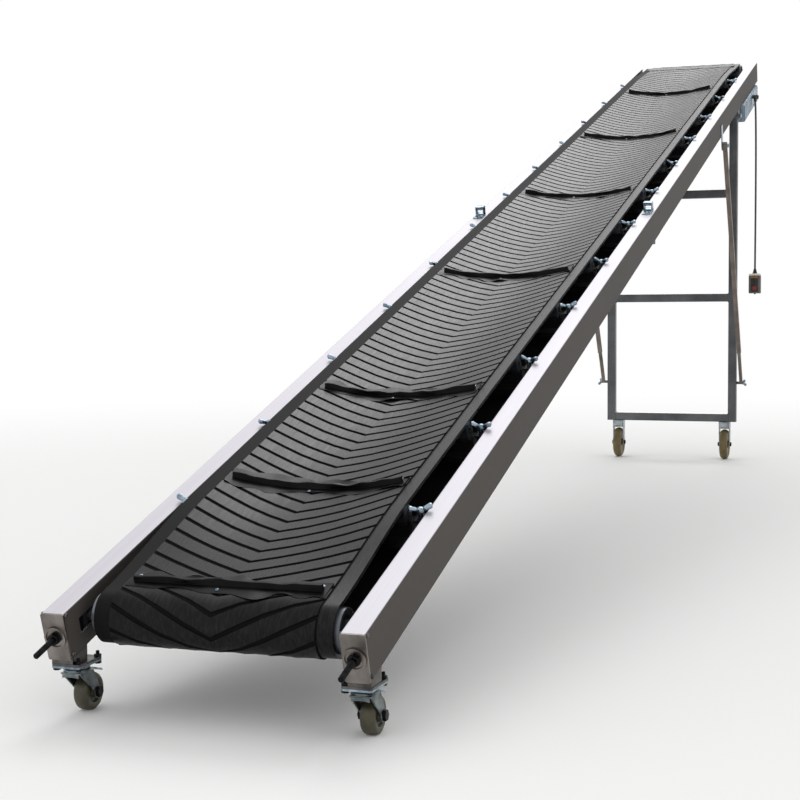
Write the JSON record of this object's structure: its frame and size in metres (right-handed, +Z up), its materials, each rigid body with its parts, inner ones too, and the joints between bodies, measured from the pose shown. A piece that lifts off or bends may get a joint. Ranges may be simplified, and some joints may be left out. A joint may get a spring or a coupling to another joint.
{
  "type": "mobile inclined belt conveyor",
  "caption": "Inclined belt conveyor with chevron belt, tube side rails, tail swivel casters, swinging leg frame with telescopic braces and a hanging pendant switch.",
  "frame": {"origin": "on the floor, midway along the machine and across it", "axes": "+Z up, +Y from the low tail end to the high head end, +X to the side with the pendant switch"},
  "size_m": [0.7713, 6.2126, 2.0755],
  "materials": {
    "rail_tube": "mill finish rectangular tube",
    "zinc_steel": "bright zinc plate",
    "galvanised_tube": "galvanised square tube",
    "cast_cap": "cast, unpolished",
    "black_steel": "blackened",
    "drum_steel": "turned steel",
    "belt_rubber": "matt black",
    "box_steel": "plain sheet steel",
    "black_plastic": "matt",
    "pendant_shell": "grey moulded shell",
    "button_caps": "moulded caps",
    "wheel_nylon": "cast nylon, cream"
  },
  "bodies": {
    "frame": {"rail_left_tail": "rail_tube", "rail_left_head": "rail_tube", "end_cap_left": "cast_cap", "tail_post_left": "cast_cap", "caster_plate_left": "zinc_steel", "leg_bracket_left": "zinc_steel", "brace_lug_left": "zinc_steel", "rail_right_tail": "rail_tube", "rail_right_head": "rail_tube", "end_cap_right": "cast_cap", "tail_post_right": "cast_cap", "caster_plate_right": "zinc_steel", "leg_bracket_right": "zinc_steel", "brace_lug_right": "zinc_steel", "tension_screws": "black_steel", "tail_bearings": "drum_steel", "head_bearings": "drum_steel", "tail_drum": "drum_steel", "head_drum": "drum_steel", "belt": "belt_rubber", "idler_brackets": "zinc_steel", "idler_rollers": "drum_steel", "wing_bolts": "zinc_steel", "return_rollers": "drum_steel", "return_plates": "zinc_steel", "fold_latches": "zinc_steel", "splice_hinges": "zinc_steel", "control_box": "box_steel", "cord_gland": "black_plastic", "pendant_cord": "black_plastic", "pendant_switch": "pendant_shell", "pendant_buttons": "button_caps"},
    "leg_frame": {"leg_bar_bottom": "galvanised_tube", "leg_bar_middle": "galvanised_tube", "leg_bar_upper": "galvanised_tube", "leg_post_left": "galvanised_tube", "rear_fork_left": "zinc_steel", "leg_post_right": "galvanised_tube", "rear_fork_right": "zinc_steel"},
    "brace_tube_left": {"brace_tube_left": "galvanised_tube"},
    "brace_rod_left": {"brace_rod_left": "galvanised_tube", "brace_wing_bolt_left": "zinc_steel"},
    "caster_left": {"caster_fork_left": "zinc_steel", "brake_pedal_left": "zinc_steel"},
    "front_wheel_left": {"front_wheel_left": "wheel_nylon"},
    "rear_wheel_left": {"rear_wheel_left": "wheel_nylon"},
    "brace_tube_right": {"brace_tube_right": "galvanised_tube"},
    "brace_rod_right": {"brace_rod_right": "galvanised_tube", "brace_wing_bolt_right": "zinc_steel"},
    "caster_right": {"caster_fork_right": "zinc_steel", "brake_pedal_right": "zinc_steel"},
    "front_wheel_right": {"front_wheel_right": "wheel_nylon"},
    "rear_wheel_right": {"rear_wheel_right": "wheel_nylon"}
  },
  "joints": [
    {"name": "leg_swing", "type": "hinge", "parent": "frame", "child": "leg_frame", "pos_m": [0, 2.34346, 1.7146], "axis": [1, 0, 0], "range_deg": [0, 30]},
    {"name": "brace_swing_left", "type": "hinge", "parent": "frame", "child": "brace_tube_left", "pos_m": [0, 1.68625, 1.50761], "axis": [1, 0, 0], "range_deg": [0, 24.1]},
    {"name": "brace_slide_left", "type": "slide", "parent": "brace_tube_left", "child": "brace_rod_left", "axis": [0, 0.5056, -0.8628], "range_m": [0, 0.32385]},
    {"name": "caster_swivel_left", "type": "hinge", "parent": "frame", "child": "caster_left", "pos_m": [-0.304, -2.96438, 0.101], "axis": [0, 0, 1], "continuous": true},
    {"name": "front_wheel_spin_left", "type": "hinge", "parent": "caster_left", "child": "front_wheel_left", "pos_m": [-0.304, -2.92238, 0.0375], "axis": [1, 0, 0], "continuous": true},
    {"name": "rear_wheel_spin_left", "type": "hinge", "parent": "leg_frame", "child": "rear_wheel_left", "pos_m": [-0.269, 2.34346, 0.075], "axis": [1, 0, 0], "continuous": true},
    {"name": "brace_swing_right", "type": "hinge", "parent": "frame", "child": "brace_tube_right", "pos_m": [0, 1.68625, 1.50761], "axis": [1, 0, 0], "range_deg": [0, 24.1]},
    {"name": "brace_slide_right", "type": "slide", "parent": "brace_tube_right", "child": "brace_rod_right", "axis": [0, 0.5056, -0.8628], "range_m": [0, 0.32385]},
    {"name": "caster_swivel_right", "type": "hinge", "parent": "frame", "child": "caster_right", "pos_m": [0.304, -2.96438, 0.101], "axis": [0, 0, 1], "continuous": true},
    {"name": "front_wheel_spin_right", "type": "hinge", "parent": "caster_right", "child": "front_wheel_right", "pos_m": [0.304, -2.92238, 0.0375], "axis": [1, 0, 0], "continuous": true},
    {"name": "rear_wheel_spin_right", "type": "hinge", "parent": "leg_frame", "child": "rear_wheel_right", "pos_m": [0.269, 2.34346, 0.075], "axis": [1, 0, 0], "continuous": true}
  ],
  "couplings": [
    {"joint": "brace_swing_left", "follows": "leg_swing", "ratio": 0.80345},
    {"joint": "brace_slide_left", "follows": "leg_swing", "m_per_rad": 0.6185},
    {"joint": "brace_swing_right", "follows": "leg_swing", "ratio": 0.80345},
    {"joint": "brace_slide_right", "follows": "leg_swing", "m_per_rad": 0.6185}
  ]
}
